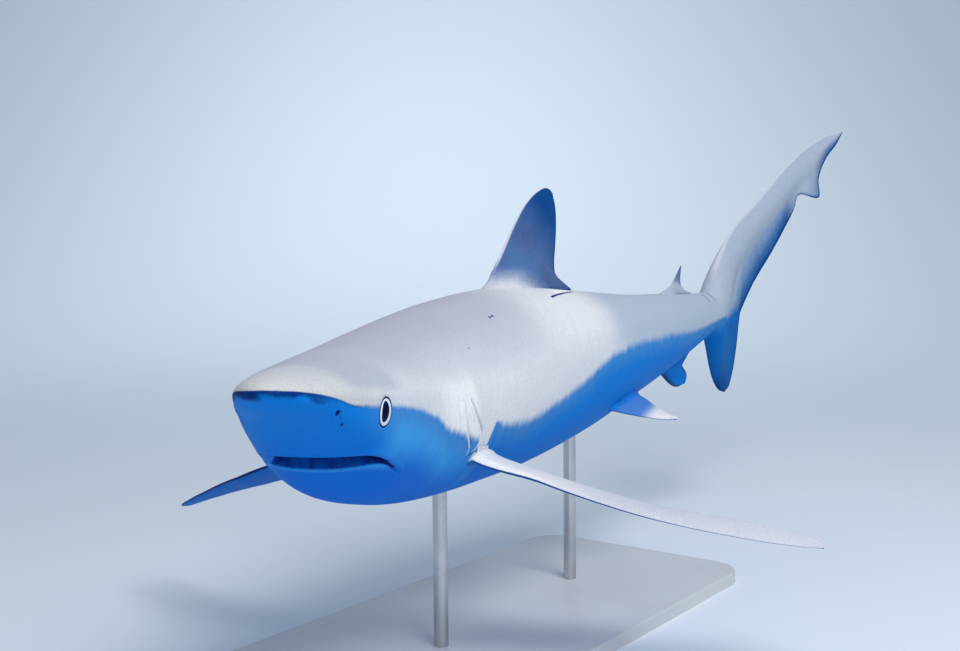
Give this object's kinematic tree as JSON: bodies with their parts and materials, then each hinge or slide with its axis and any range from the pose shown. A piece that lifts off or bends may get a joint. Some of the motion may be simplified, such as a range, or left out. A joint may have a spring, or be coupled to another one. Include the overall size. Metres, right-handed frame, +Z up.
{
  "type": "blue shark display model",
  "caption": "Life-size still model of a slender long-snouted shark turning to its left, fins spread, on a flat plate and upright rods.",
  "frame": {"origin": "centre of the underside of the stand's plate, on the floor", "axes": "+Z up, -Y the way the middle of the body swims, +X to the shark's left"},
  "size_m": [1.05, 2.0632, 0.8718],
  "materials": {
    "skin": "satin, slate blue above and pale below, fine shagreen grain",
    "eye": "wet gloss, black pupil in a thin white ring",
    "stand_plate": "satin pale grey paint",
    "stand_steel": "brushed"
  },
  "bodies": {
    "root": {"head": "skin", "lower_jaw": "skin", "gill_region": "skin", "trunk_front": "skin", "trunk_middle": "skin", "trunk_rear": "skin", "tail_stem": "skin", "tail_fin_upper": "skin", "tail_fin_lower": "skin", "first_dorsal_fin": "skin", "second_dorsal_fin": "skin", "anal_fin": "skin", "pectoral_fin_left": "skin", "pectoral_fin_right": "skin", "pelvic_fin_left": "skin", "pelvic_fin_right": "skin", "eye_left": "eye", "eye_right": "eye", "stand_base": "stand_plate", "stand_rod_front": "stand_steel", "stand_rod_rear": "stand_steel"}
  },
  "joints": []
}
